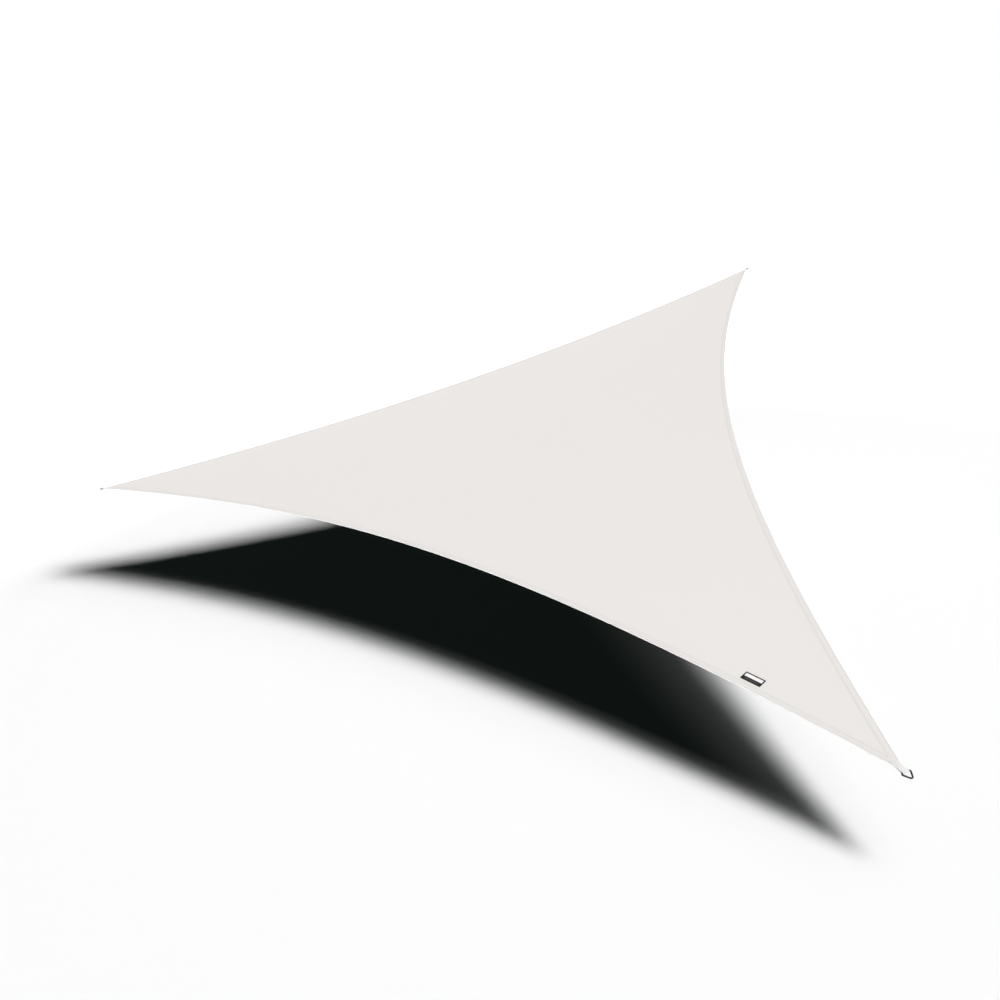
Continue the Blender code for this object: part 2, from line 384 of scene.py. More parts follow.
# %% White background and plain colours
AMBIENT = 0.008
AMBIENT_TINT = (0.74, 1.09, 0.98)        # what light reaches into the shadow is a little green

world = bpy.data.worlds.new("studio")
bpy.context.scene.world = world
world.use_nodes = True
tree = world.node_tree
tree.nodes.clear()
seen = node(tree, "ShaderNodeBackground", Color=(1, 1, 1, 1), Strength=1.0)
shed = node(tree, "ShaderNodeBackground", Color=(*AMBIENT_TINT, 1), Strength=AMBIENT)
ray = tree.nodes.new("ShaderNodeLightPath")
chosen = node(
    tree, "ShaderNodeMixShader",
    Fac=ray.outputs["Is Camera Ray"], _1=shed.outputs["Background"], _2=seen.outputs["Background"],
)
node(tree, "ShaderNodeOutputWorld", Surface=chosen.outputs["Shader"])
bpy.context.scene.view_settings.view_transform = "Standard"
print("background: white to the camera, ambient light", AMBIENT)

# %% [markdown]
# ## The cloth and its hem
#
# The real sail is one cut of cloth, turned in along each edge and sewn down with two rows of
# stitches. A Cloth simulation would sag it, but a taut sail is nearly a plane, so its shape is
# written straight into a mesh: a profile of the hem carried along all three edges, and a grid of
# small triangles for the single cloth inside it. The folded edge is round, each row of stitches
# lies in a shallow valley, and the inner edge of the hem is a small step.

# %% The hem's profile
CLOTH_THICK = 0.0012
HEM_WIDTH = 0.025
HEM_THICK = 0.0032           # at the outer fold; the hem gets thinner towards its inner edge
OUTER_ROW = 0.0045           # inset of each row of stitches
INNER_ROW = 0.0215
VALLEY = 0.00025             # how deep a row lies
HEM_STEP = 0.0006            # up from the single cloth to the hem's inner edge
STEP_REACH = 0.0012          # how far that step spreads, in and out
HEM_THINNING = 0.0004        # how much lower the face is at the inner row
ROLL_PARTS = 8


def hem_profile():
    """(inset, w) from the single cloth on top, out over the fold, and back underneath."""
    cloth = CLOTH_THICK / 2
    fold = HEM_THICK / 2
    thinned = fold - HEM_THINNING
    top = [
        (HEM_WIDTH + 0.0090, cloth),
        (HEM_WIDTH + 0.0030, cloth),
        (HEM_WIDTH + STEP_REACH, cloth),
        (HEM_WIDTH + STEP_REACH / 3, cloth + HEM_STEP * 0.2),
        (HEM_WIDTH - STEP_REACH / 3, cloth + HEM_STEP * 0.8),
        (HEM_WIDTH - STEP_REACH, cloth + HEM_STEP),
        (INNER_ROW + 0.0009, thinned),
        (INNER_ROW, thinned - VALLEY),
        (INNER_ROW - 0.0009, thinned),
        (HEM_WIDTH * 0.6, thinned + 0.00010),
        (OUTER_ROW + 0.0010, fold - 0.00005),
        (OUTER_ROW, fold - VALLEY),
        (OUTER_ROW - 0.0010, fold),
        (OUTER_ROW - 0.0020, fold),
    ]
    angles = [math.pi * (0.5 - i / ROLL_PARTS) for i in range(ROLL_PARTS + 1)]
    roll = [(fold * (1 - math.cos(a)), fold * math.sin(a)) for a in angles]
    return top + roll + [(inset, -w) for inset, w in reversed(top)]


def cloth_height(inset):
    """How high the upper face of the hem or cloth is, this far in from the edge."""
    upper = [step for step in hem_profile() if step[1] > 0]
    for (outer_inset, outer_w), (inner_inset, inner_w) in zip(upper[1:], upper):
        if outer_inset <= inset <= inner_inset:
            share = (inset - outer_inset) / (inner_inset - outer_inset)
            return outer_w + (inner_w - outer_w) * share
    return CLOTH_THICK / 2


print(len(hem_profile()), "steps in the hem's profile")

# %% Points and faces of the cloth
EDGE_PARTS = 144

points, faces, edge_distance = [], [], []


def cloth_point(flat, w, inset):
    """Adds a point of the cloth, w above or below its middle layer, and gives its number."""
    points.append((flat.x, flat.y, w - sag(flat)))
    edge_distance.append(inset)
    return len(points) - 1


def hem_line(inset, w):
    """One row of points along each edge, at this inset, with shared ends where rows meet."""
    start, on_cut = tip_limit(inset)
    rows = []
    for edge in EDGES:
        shares = [start + (1 - 2 * start) * i / EDGE_PARTS for i in range(EDGE_PARTS + 1)]
        rows.append([
            cloth_point(in_layout(edge, *beside_edge(share, inset)), w, inset)
            if on_cut or i < EDGE_PARTS else None
            for i, share in enumerate(shares)
        ])
    if not on_cut:
        for i, row in enumerate(rows):
            row[-1] = rows[(i + 1) % 3][0]
    return rows, on_cut


lines = [hem_line(inset, w) for inset, w in hem_profile()]
for (outer, outer_cut), (inner, inner_cut) in zip(lines, lines[1:]):
    for a, b in zip(outer, inner):
        for i in range(EDGE_PARTS):
            faces.append((a[i], a[i + 1], b[i + 1], b[i]))
    if outer_cut != inner_cut:
        shared, split = (inner, outer) if outer_cut else (outer, inner)
        for i in range(3):
            faces.append((split[i][-1], split[(i + 1) % 3][0], shared[i][-1]))

cut_lines = [rows for rows, on_cut in lines if on_cut]
for i in range(3):
    going = [rows[i][-1] for rows in cut_lines]
    coming = [rows[(i + 1) % 3][0] for rows in reversed(cut_lines)]
    faces.append(tuple(going + coming))
print(len(points), "points in the hem")

# %% The single cloth inside the hem
inner_inset = hem_profile()[0][0]
inner_start, _ = tip_limit(inner_inset)


def inner_edge(edge, part):
    """The flat point at this part, from 0 to 1, of the grid's own outline."""
    return in_layout(edge, *beside_edge(inner_start + (1 - 2 * inner_start) * part, inner_inset))


grid_tips = [inner_edge(edge, 0) for edge in EDGES]


def grid_point(weights):
    """A point inside the hem: a straight triangle's point, drawn in as its edges are."""
    point = sum((tip * weight for tip, weight in zip(grid_tips, weights)), Vector((0, 0)))
    for n, edge in enumerate(EDGES):
        near_edge = weights[n] + weights[(n + 1) % 3]
        part = weights[(n + 1) % 3] / near_edge
        straight = grid_tips[n].lerp(grid_tips[(n + 1) % 3], part)
        point += (inner_edge(edge, part) - straight) * near_edge**2
    return point


inside = {}
for i in range(1, EDGE_PARTS):
    for j in range(1, EDGE_PARTS - i):
        k = EDGE_PARTS - i - j
        inside[i, j, k] = grid_point((i / EDGE_PARTS, j / EDGE_PARTS, k / EDGE_PARTS))

for (rows, _), w in ((lines[0], CLOTH_THICK / 2), (lines[-1], -CLOTH_THICK / 2)):
    grid = {}
    for i in range(EDGE_PARTS + 1):
        grid[EDGE_PARTS - i, i, 0] = rows[0][i]
        grid[0, EDGE_PARTS - i, i] = rows[1][i]
        grid[i, 0, EDGE_PARTS - i] = rows[2][i]
    for place, point in inside.items():
        grid[place] = cloth_point(point, w, 2 * HEM_WIDTH)
    for i in range(EDGE_PARTS):
        for j in range(EDGE_PARTS - i):
            k = EDGE_PARTS - 1 - i - j
            faces.append((grid[i + 1, j, k], grid[i, j + 1, k], grid[i, j, k + 1]))
            if k > 0:
                faces.append((grid[i + 1, j + 1, k - 1], grid[i, j + 1, k], grid[i + 1, j, k]))
print(len(points), "points and", len(faces), "faces in the whole cloth")

# %% The cloth as one piece
def select_only(piece):
    """Selects this object alone and makes it the active one."""
    bpy.ops.object.select_all(action="DESELECT")
    piece.select_set(True)
    bpy.context.view_layer.objects.active = piece


def map_flat(piece):
    """Gives a piece a UV map in metres, taken from its own x and y while it still lies flat."""
    layer = piece.data.uv_layers.get("cut") or piece.data.uv_layers.new(name="cut")
    for loop in piece.data.loops:
        layer.data[loop.index].uv = piece.data.vertices[loop.vertex_index].co.xy


def hang(piece, place=Matrix.Identity(4)):
    """Moves a flat piece to where the sail hangs, with its place in its mesh."""
    select_only(piece)
    piece.matrix_world = HANG @ place
    bpy.ops.object.transform_apply()


cloth_mesh = bpy.data.meshes.new("cloth")
cloth_mesh.from_pydata(points, [], faces)
cloth = bpy.data.objects.new("cloth", cloth_mesh)
bpy.context.scene.collection.objects.link(cloth)
from_edge = cloth_mesh.attributes.new("from_edge", "FLOAT", "POINT")
from_edge.data.foreach_set("value", edge_distance)
map_flat(cloth)

select_only(cloth)
bpy.ops.object.mode_set(mode="EDIT")
bpy.ops.mesh.select_all(action="SELECT")
bpy.ops.mesh.normals_make_consistent(inside=False)
bpy.ops.object.mode_set(mode="OBJECT")
bpy.ops.object.shade_smooth_by_angle(angle=math.radians(50))
hang(cloth)
print("cloth:", len(cloth.data.polygons), "faces,", [round(size, 3) for size in cloth.dimensions], "m")

# %% [markdown]
# ## Stitches
#
# A row of stitches is a row of short, fat threads that dive into the cloth at both ends. One
# stitch is modelled, an Array repeats it along a line, and a Curve modifier bends the row along
# the hem. A painted dotted line would be lighter, but real thread catches the light from any side.

# %% One stitch, and a row of them
THREAD = 0.0009
STITCH_PITCH = 0.006
STITCH_BODY = 0.55           # the thick middle's share of a stitch's length
STITCH_POINT = 0.18          # each pointed end's share
STITCH_DIP = THREAD * 0.5    # how far the ends dive
THREAD_RISE = THREAD * 0.15  # how far a stitch's middle lies above what it is sewn to


def one_stitch(length):
    """A five-sided spindle along x, whose pointed ends dip below its middle."""
    bpy.ops.object.select_all(action="DESELECT")
    bpy.ops.mesh.primitive_cylinder_add(
        vertices=5, radius=THREAD / 2, depth=length * STITCH_BODY, end_fill_type="TRIFAN",
        rotation=(0, math.radians(90), 0),
    )
    bpy.ops.object.transform_apply()
    stitch = bpy.context.object
    for vertex in stitch.data.vertices:
        if math.hypot(vertex.co.y, vertex.co.z) < THREAD / 10:
            vertex.co.x += math.copysign(length * STITCH_POINT, vertex.co.x)
            vertex.co.z -= STITCH_DIP
    return stitch


def sew(name, line, pitch=STITCH_PITCH):
    """A row of stitches along this line of points."""
    length = sum((b - a).length for a, b in zip(line, line[1:]))
    count = max(1, round(length / pitch))
    stitch = one_stitch(length / count)
    stitch.name = name
    for vertex in stitch.data.vertices:
        vertex.co.x += length / count / 2

    path = bpy.data.curves.new(f"{name}_line", "CURVE")
    path.dimensions = "3D"
    path.twist_mode = "Z_UP"
    spline = path.splines.new("POLY")
    spline.points.add(len(line) - 1)
    for point, place in zip(spline.points, line):
        point.co = (*place, 1)
    guide = bpy.data.objects.new(f"{name}_line", path)
    bpy.context.scene.collection.objects.link(guide)

    repeat = stitch.modifiers.new("repeat", "ARRAY")
    repeat.count = count
    repeat.use_relative_offset = False
    repeat.use_constant_offset = True
    repeat.constant_offset_displace = (length / count, 0, 0)
    follow = stitch.modifiers.new("follow", "CURVE")
    follow.object = guide
    select_only(stitch)
    bpy.ops.object.modifier_apply(modifier="repeat")
    bpy.ops.object.modifier_apply(modifier="follow")
    bpy.data.objects.remove(guide)
    return stitch


def join(name, pieces):
    """Joins rows of stitches into one object."""
    select_only(pieces[0])
    for piece in pieces:
        piece.select_set(True)
    bpy.ops.object.join()
    pieces[0].name = name
    pieces[0].data.name = name
    return pieces[0]


print(f"one stitch every {STITCH_PITCH * 1000:.0f} mm, of thread {THREAD * 1000:.1f} mm thick")

# %% Rows of stitches along the hem
STRAP_REACH = 0.065          # the straps end this far inside the corner point
STRAP_WIDTH = 0.020
STRAP_MARGIN = 0.004         # the outer row of the hem starts this far beyond the strap's side
ROW_POINTS = 200

hem_tip = math.atan(hollow(0)[1])
half_tip = HALF_CORNER - hem_tip


def stitch_line(edge, inset, side):
    """The line of one row of stitches along an edge, on the upper (1) or lower (-1) face."""
    start, _ = tip_limit(inset)
    if inset == OUTER_ROW:
        clear_of_strap = (STRAP_WIDTH / 2 + OUTER_ROW / math.cos(half_tip)) / math.tan(half_tip)
        start = max(start, (clear_of_strap + STRAP_MARGIN) / SIDE)
    line = []
    for i in range(ROW_POINTS + 1):
        share = start + (1 - 2 * start) * i / ROW_POINTS
        flat = in_layout(edge, *beside_edge(share, inset))
        w = side * (cloth_height(inset) + THREAD_RISE) - sag(flat)
        line.append(Vector((flat.x, flat.y, w)))
    return line


def hem_stitches(name, side):
    """Both rows of stitches on all three edges, on one face of the sail."""
    lines = [stitch_line(edge, inset, side) for edge in EDGES for inset in (OUTER_ROW, INNER_ROW)]
    return join(name, [sew(name, line) for line in lines])


top_stitches = hem_stitches("hem_stitches_top", 1)
under_stitches = hem_stitches("hem_stitches_under", -1)
for stitches in (top_stitches, under_stitches):
    map_flat(stitches)
    select_only(stitches)
    bpy.ops.object.shade_smooth()
    hang(stitches)
    print(stitches.name, len(stitches.data.polygons), "faces")

# %% [markdown]
# ## Corner straps
#
# Each corner has a piece of flat webbing, folded round the ring's base bar and sewn to the cloth
# from above and below. It is modelled once, in the corner's own axes: x outwards, y across and z
# out of the cloth. A thin plane is the upper leg, its end is spun round the bar, and the lower
# leg is extruded from there. Solidify gives it its thickness.

# %% One strap
STRAP_THICK = 0.0011
STRAP_KNEE = 0.010           # the legs start to spread this far short of the bar's centre
BAR_THICK = 0.005
RING_INSET = 0.009           # the base bar's centre lies this far inside the corner point
STRAP_LIFT = HEM_THICK / 2 + 0.0001
STRAP_SETTLE = 0.0003        # its ends lie this much lower, on the flatter part of the hem
FOLD_RADIUS = BAR_THICK / 2 + 0.0003
FOLD_STEPS = 16
SAME_PLACE = 1e-5            # a selection takes what lies this close


def select_where(piece, kind, test):
    """In edit mode, selects the vertices, edges or faces whose middle passes a test."""
    bpy.ops.mesh.select_mode(type=kind)
    bpy.ops.mesh.select_all(action="DESELECT")
    bpy.ops.object.mode_set(mode="OBJECT")
    mesh = piece.data
    if kind == "VERT":
        for vertex in mesh.vertices:
            vertex.select = test(vertex.co)
    elif kind == "EDGE":
        for edge in mesh.edges:
            start, end = (mesh.vertices[index].co for index in edge.vertices)
            edge.select = test((start + end) / 2)
    else:
        for face in mesh.polygons:
            face.select = test(face.center)
    bpy.ops.object.mode_set(mode="EDIT")


def move_selected(x=0.0, z=0.0):
    """In edit mode, moves what is selected."""
    bpy.ops.transform.translate(value=(x, 0, z))


knee = Vector((-STRAP_KNEE, STRAP_LIFT))
touch = math.atan2(knee.y, knee.x) - math.acos(FOLD_RADIUS / knee.length)
touch_place = Vector((math.cos(touch), math.sin(touch))) * FOLD_RADIUS
leg_length = STRAP_REACH - RING_INSET - STRAP_KNEE

bpy.ops.object.select_all(action="DESELECT")
bpy.ops.mesh.primitive_plane_add(
    size=1, location=(-STRAP_REACH + leg_length / 2, 0, STRAP_LIFT)
)
strap = bpy.context.object
strap.name = "corner_strap"
strap.scale = (leg_length, STRAP_WIDTH, 1)
bpy.ops.object.transform_apply()
bpy.ops.object.mode_set(mode="EDIT")

knee_x = -RING_INSET - STRAP_KNEE
select_where(strap, "EDGE", lambda middle: abs(middle.x - knee_x) < SAME_PLACE)
bpy.ops.mesh.extrude_edges_move()
move_selected(x=touch_place.x + STRAP_KNEE, z=touch_place.y - STRAP_LIFT)
bpy.ops.mesh.spin(
    steps=FOLD_STEPS, angle=-2 * touch, center=(-RING_INSET, 0, 0), axis=(0, 1, 0)
)
bpy.ops.mesh.extrude_edges_move()
move_selected(x=-STRAP_KNEE - touch_place.x, z=touch_place.y - STRAP_LIFT)
bpy.ops.mesh.extrude_edges_move()
move_selected(x=-leg_length)
for side in (1, -1):
    select_where(
        strap, "VERT", lambda place: place.x < -STRAP_REACH + SAME_PLACE and place.z * side > 0
    )
    move_selected(z=-side * STRAP_SETTLE)
bpy.ops.object.mode_set(mode="OBJECT")
low, high = Vector(strap.bound_box[0]), Vector(strap.bound_box[6])
print("strap before its thickness, in mm:", [round(size * 1000, 1) for size in high - low])

# %% Thickness and soft edges
STRAP_SOFT_EDGE = 0.0004


def weld(piece):
    """Merges points that lie in one place, and turns all faces outwards."""
    select_only(piece)
    bpy.ops.object.mode_set(mode="EDIT")
    bpy.ops.mesh.select_all(action="SELECT")
    bpy.ops.mesh.remove_doubles(threshold=TINY)
    bpy.ops.mesh.normals_make_consistent(inside=False)
    bpy.ops.object.mode_set(mode="OBJECT")


def give_thickness(piece, thickness, offset, soft_edge, sharp):
    """Thickens the active sheet and softens the edges that turn by more than the sharp angle."""
    thicken = piece.modifiers.new("thicken", "SOLIDIFY")
    thicken.thickness = thickness
    thicken.offset = offset
    soften = piece.modifiers.new("soften", "BEVEL")
    soften.width = soft_edge
    soften.segments = 2
    soften.limit_method = "ANGLE"
    soften.angle_limit = sharp
    bpy.ops.object.modifier_apply(modifier="thicken")
    bpy.ops.object.modifier_apply(modifier="soften")
    bpy.ops.object.shade_smooth_by_angle(angle=math.radians(40))


weld(strap)
upper_leg = max(strap.data.polygons, key=lambda face: face.center.z)
outwards = 1 if upper_leg.normal.z > 0 else -1
give_thickness(strap, STRAP_THICK, outwards, STRAP_SOFT_EDGE, math.radians(50))
print("strap:", len(strap.data.polygons), "faces")

# %% Stitches of the strap
BOX_LENGTH = 0.036
BOX_WIDTH = 0.013
BOX_START = 0.004            # the sewn box starts this far in from the strap's end
STRAP_PITCH = 0.0038


def on_strap(x):
    """How far the strap's outer face is from the cloth's middle layer, this far along it."""
    settled = STRAP_SETTLE * (-RING_INSET - STRAP_KNEE - x) / leg_length
    return STRAP_LIFT - settled + STRAP_THICK + THREAD_RISE


def box_rows(side):
    """A sewn box with a cross in it, on the strap's upper (1) or lower (-1) face."""
    x0 = -STRAP_REACH + BOX_START
    x1 = x0 + BOX_LENGTH
    y = BOX_WIDTH / 2
    corners = [Vector((a, b, side * on_strap(a))) for a, b in ((x0, -y), (x1, -y), (x1, y), (x0, y))]
    ends = [(0, 1), (1, 2), (2, 3), (3, 0), (0, 2), (1, 3)]
    return [sew("box_row", [corners[a], corners[b]], STRAP_PITCH) for a, b in ends]


strap_stitches = join("strap_stitches", box_rows(1) + box_rows(-1))
map_flat(strap)
map_flat(strap_stitches)
print("strap stitches:", len(strap_stitches.data.polygons), "faces")

# %% [markdown]
# ## Corner rings
#
# Each ring is a round bar bent to a triangle with rounded corners, welded shut. Its centre line
# is drawn first: one vertex spun round each bend, and the bends joined by straight edges. That
# line becomes a curve, whose bevel gives it the bar's thickness, and then a mesh.

# %% One ring
RING_SIDE = 0.033            # between the points where the bar's centre lines would cross
RING_BASE_BEND = 0.004       # bend radius of the centre line beside the base bar
RING_TIP_BEND = 0.005        # and at the ring's point
BEND_STEPS = 14
HALF_BEND = math.radians(60)

ring_tip = -RING_INSET + RING_SIDE * math.cos(HALF_CORNER)
bends = [(Vector((ring_tip - 2 * RING_TIP_BEND, 0, 0)), RING_TIP_BEND, 0.0)]
for turn in (120, 240):
    angle = math.radians(turn)
    foot = Vector((-RING_INSET, math.copysign(RING_SIDE / 2, math.sin(angle)), 0))
    bends.append((foot - turned(angle) * 2 * RING_BASE_BEND, RING_BASE_BEND, angle))


def bend_end(bend, way):
    """Where a bend starts (-1) or ends (1)."""
    centre, radius, middle = bend
    return centre + turned(middle + way * HALF_BEND) * radius


def spun_bend(bend):
    """One bend of the centre line: a small plane, merged to one vertex and spun."""
    bpy.ops.object.select_all(action="DESELECT")
    bpy.ops.mesh.primitive_plane_add(size=BAR_THICK, location=bend_end(bend, -1))
    line = bpy.context.object
    bpy.ops.object.transform_apply()
    bpy.ops.object.mode_set(mode="EDIT")
    bpy.ops.mesh.merge(type="CENTER")
    bpy.ops.mesh.select_mode(type="VERT")
    bpy.ops.mesh.select_all(action="SELECT")
    # Spin turns clockwise round its axis, so a turn to the left has a minus sign.
    bpy.ops.mesh.spin(steps=BEND_STEPS, angle=-2 * HALF_BEND, center=bend[0], axis=(0, 0, 1))
    bpy.ops.object.mode_set(mode="OBJECT")
    return line


ring = join("corner_ring", [spun_bend(bend) for bend in bends])
print("ring line:", len(ring.data.vertices), "points")

# %% From line to bar
select_only(ring)
bpy.ops.object.mode_set(mode="EDIT")
for bend, next_bend in zip(bends, bends[1:] + bends[:1]):
    end, start = bend_end(bend, 1), bend_end(next_bend, -1)
    select_where(
        ring, "VERT", lambda place: min((place - end).length, (place - start).length) < SAME_PLACE
    )
    bpy.ops.mesh.edge_face_add()
bpy.ops.object.mode_set(mode="OBJECT")
bpy.ops.object.convert(target="CURVE")
ring = bpy.context.object
ring.data.bevel_depth = BAR_THICK / 2
ring.data.bevel_resolution = 5
bpy.ops.object.convert(target="MESH")
ring = bpy.context.object
weld(ring)
bpy.ops.object.shade_smooth()
print("ring:", len(ring.data.polygons), "faces")

# %% [markdown]
# ## Copies at the three corners
#
# The three corners are alike, so each strap, its stitches and its ring are copied, and each copy
# gets its own mesh and its own place. A linked copy would be lighter, but its place could not go
# into its mesh.

# %% Place the copies
def corner_place(corner):
    """The matrix from a corner's own axes to the flat layout."""
    out = (FLAT[corner] - CENTRE).normalized()
    turn = Matrix.Rotation(math.atan2(out.y, out.x), 4, "Z")
    return Matrix.Translation((*FLAT[corner], 0)) @ turn


def copy_to(original, corner):
    """A copy of a corner piece with its own mesh, hung at this corner."""
    copy = original.copy()
    copy.data = original.data.copy()
    copy.name = f"{original.name}_at_{corner}"
    bpy.context.scene.collection.objects.link(copy)
    hang(copy, corner_place(corner))
    return copy


straps = {corner: copy_to(strap, corner) for corner in CORNERS}
sewn = {corner: copy_to(strap_stitches, corner) for corner in CORNERS}
rings = {corner: copy_to(ring, corner) for corner in CORNERS}
for original in (strap, strap_stitches, ring):
    bpy.data.objects.remove(original)
for corner in CORNERS:
    low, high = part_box(f"corner_ring_{corner}")
    middle = sum((Vector(c) for c in rings[corner].bound_box), Vector()) / 8
    print(corner, "ring is off its solid by %.2f mm" % ((middle - (low + high) / 2).length * 1000))

# %% [markdown]
# ## The label
#
# A small woven label is sewn flat on the cloth beside the front edge, near the near corner. It is
# a thin plate with rounded corners and turned edges. What it says is left plain: a pale woven
# band and a thin line stand in its place.

# %% Label
LABEL_LENGTH = 0.075
LABEL_WIDTH = 0.0355
LABEL_THICK = 0.0009
LABEL_FROM_CORNER = 0.528    # from the near corner point to its middle, along the front edge
LABEL_INSET = 0.051          # from the cloth's edge to its middle
LABEL_ROUND = 0.002
LABEL_RIM = 0.0022           # the turned edge
LABEL_STEP = 0.00018         # and how far the rest lies below it
LABEL_SOFT_EDGE = 0.0002
LABEL_GAP = 0.0001           # between the cloth and the label
LABEL_ROW_INSET = 0.0035
LABEL_PITCH = 0.0034
LABEL_THREAD_RISE = THREAD * 0.1

bpy.ops.object.select_all(action="DESELECT")
bpy.ops.mesh.primitive_plane_add(size=1)
label = bpy.context.object
label.name = "sewn_label"
label.scale = (LABEL_LENGTH, LABEL_WIDTH, 1)
bpy.ops.object.transform_apply()
bpy.ops.object.mode_set(mode="EDIT")
bpy.ops.mesh.select_all(action="SELECT")
bpy.ops.mesh.bevel(affect="VERTICES", offset=LABEL_ROUND, segments=4)
bpy.ops.mesh.inset(thickness=LABEL_RIM, depth=0)
bpy.ops.mesh.extrude_region_move()
move_selected(z=-LABEL_STEP)
bpy.ops.object.mode_set(mode="OBJECT")
give_thickness(label, LABEL_THICK, -1, LABEL_SOFT_EDGE, math.radians(40))
print("label:", len(label.data.polygons), "faces")

# %% Stitches of the label, and its place
x = LABEL_LENGTH / 2 - LABEL_ROW_INSET
y = LABEL_WIDTH / 2 - LABEL_ROW_INSET
rim = [Vector((*place, LABEL_THREAD_RISE)) for place in ((-x, -y), (x, -y), (x, y), (-x, y))]
label_rows = [sew("label_row", [rim[i], rim[(i + 1) % 4]], LABEL_PITCH) for i in range(4)]
label_stitches = join("label_stitches", label_rows)

label_share = 1 - LABEL_FROM_CORNER / SIDE
label_middle = in_layout(EDGES[0], *beside_edge(label_share, LABEL_INSET))
lift = CLOTH_THICK / 2 + LABEL_THICK + LABEL_GAP - sag(label_middle)
label_place = Matrix.Translation((*label_middle, lift)) @ Matrix.Rotation(
    math.atan(hollow(label_share)[1]), 4, "Z"
)
for piece in (label, label_stitches):
    map_flat(piece)
    hang(piece, label_place)
print("a corner of the label in the picture:", picture_place(label.data.vertices[0].co))

# %% [markdown]
# ## Materials
#
# Each finish is built from nodes. The weave follows the UV map in metres that each piece got
# while it lay flat, so its threads run with the cloth and keep their size. An image of cloth would
# be quicker, but it repeats and blurs up close. The scale of a noise counts its waves to a metre.

# %% Helpers for finishes
def flat_map(tree):
    """The place in the flat layout, in metres."""
    made = tree.nodes.new("ShaderNodeUVMap")
    made.uv_map = "cut"
    return made.outputs["UV"]


def noise(tree, where, scale, detail=2.0, roughness=0.5):
    """A cloudy pattern from 0 to 1."""
    sizes = {"Scale": scale, "Detail": detail, "Roughness": roughness}
    return node(tree, "ShaderNodeTexNoise", Vector=where, **sizes).outputs["Fac"]


def stretched(tree, where, x, y):
    """A place scaled by x and y, which draws a pattern out along the smaller one."""
    return node(tree, "ShaderNodeMapping", Vector=where, Scale=(x, y, 1)).outputs["Vector"]


def weave_height(tree, where, pitch):
    """0 to 1: threads passing over and under each other, pitch metres apart."""
    parts = node(tree, "ShaderNodeSeparateXYZ", Vector=where)
    angles = [maths(tree, "MULTIPLY", parts.outputs[way], math.pi / pitch) for way in "XY"]
    warp, weft = (maths(tree, "SINE", angle) for angle in angles)
    return maths(tree, "MULTIPLY_ADD", maths(tree, "MULTIPLY", warp, weft), 0.5, 0.5)


def remapped(tree, value, low, high):
    """Takes 0..1 to low..high."""
    return maths(tree, "MULTIPLY_ADD", value, high - low, low)


def mixed(tree, factor, first, second):
    """The first colour where the factor is 0, and the second where it is 1."""
    made = tree.nodes.new("ShaderNodeMix")
    made.data_type = "RGBA"
    tree.links.new(factor, made.inputs["Factor"])
    for socket, colour in ((made.inputs[6], first), (made.inputs[7], second)):
        if isinstance(colour, bpy.types.NodeSocket):
            tree.links.new(colour, socket)
        else:
            socket.default_value = (*colour, 1)
    return made.outputs[2]


def tinted(tree, shader, colour, tone):
    """Gives the surface a colour, made lighter or darker by a tone near 1."""
    made = node(tree, "ShaderNodeVectorMath", _0=colour)
    made.operation = "SCALE"
    tree.links.new(tone, made.inputs["Scale"])
    tree.links.new(made.outputs["Vector"], shader.inputs["Base Color"])


def bumped(tree, shader, height, distance):
    """Raises the surface by up to this distance."""
    bump = node(tree, "ShaderNodeBump", Height=height, Distance=distance, Strength=1.0)
    tree.links.new(bump.outputs["Normal"], shader.inputs["Normal"])


def dress(pieces, material):
    """Gives these pieces this material and no other."""
    for piece in pieces:
        piece.data.materials.clear()
        piece.data.materials.append(material)


print("helpers for finishes are ready")

# %% Cloth material
CLOTH_COLOUR = (0.780, 0.750, 0.728)
HEM_COLOUR = (0.762, 0.738, 0.724)
FOLD_HIGHLIGHT_COLOUR = (0.93, 0.92, 0.91)         # painted highlight: the folded edge is painted paler, standing in for the light it catches
CLOTH_ROUGHNESS = (0.80, 0.92)
CLOTH_PITCH = 0.0012
CLOTH_BUMP = 0.00006
SLUBS_ACROSS = 900                       # slubs are thick stretches of a thread
SLUBS_ALONG = 12
SLUB_BUMP = 0.6                          # as a share of the weave's
CLOUDS = 1.6                             # soft differences over the whole cloth
TONE_OF_WEAVE = 0.012                    # how much each lightens and darkens the cloth
TONE_OF_SLUBS = 0.010
TONE_OF_CLOUDS = 0.008

cloth_finish, tree, shader = new_material("cloth_finish", 0.85, sheen=0.08, specular=0.15)
where = flat_map(tree)
weave = weave_height(tree, where, CLOTH_PITCH)
warp_slubs = noise(tree, stretched(tree, where, SLUBS_ACROSS, SLUBS_ALONG), 1.0)
weft_slubs = noise(tree, stretched(tree, where, SLUBS_ALONG, SLUBS_ACROSS), 1.0)
clouds = noise(tree, where, CLOUDS, detail=3.0)
tone = remapped(tree, clouds, 1 - TONE_OF_CLOUDS, 1 + TONE_OF_CLOUDS)
for pattern, share in ((weave, TONE_OF_WEAVE), (warp_slubs, TONE_OF_SLUBS), (weft_slubs, TONE_OF_SLUBS)):
    tone = maths(tree, "ADD", tone, remapped(tree, pattern, -share, share))

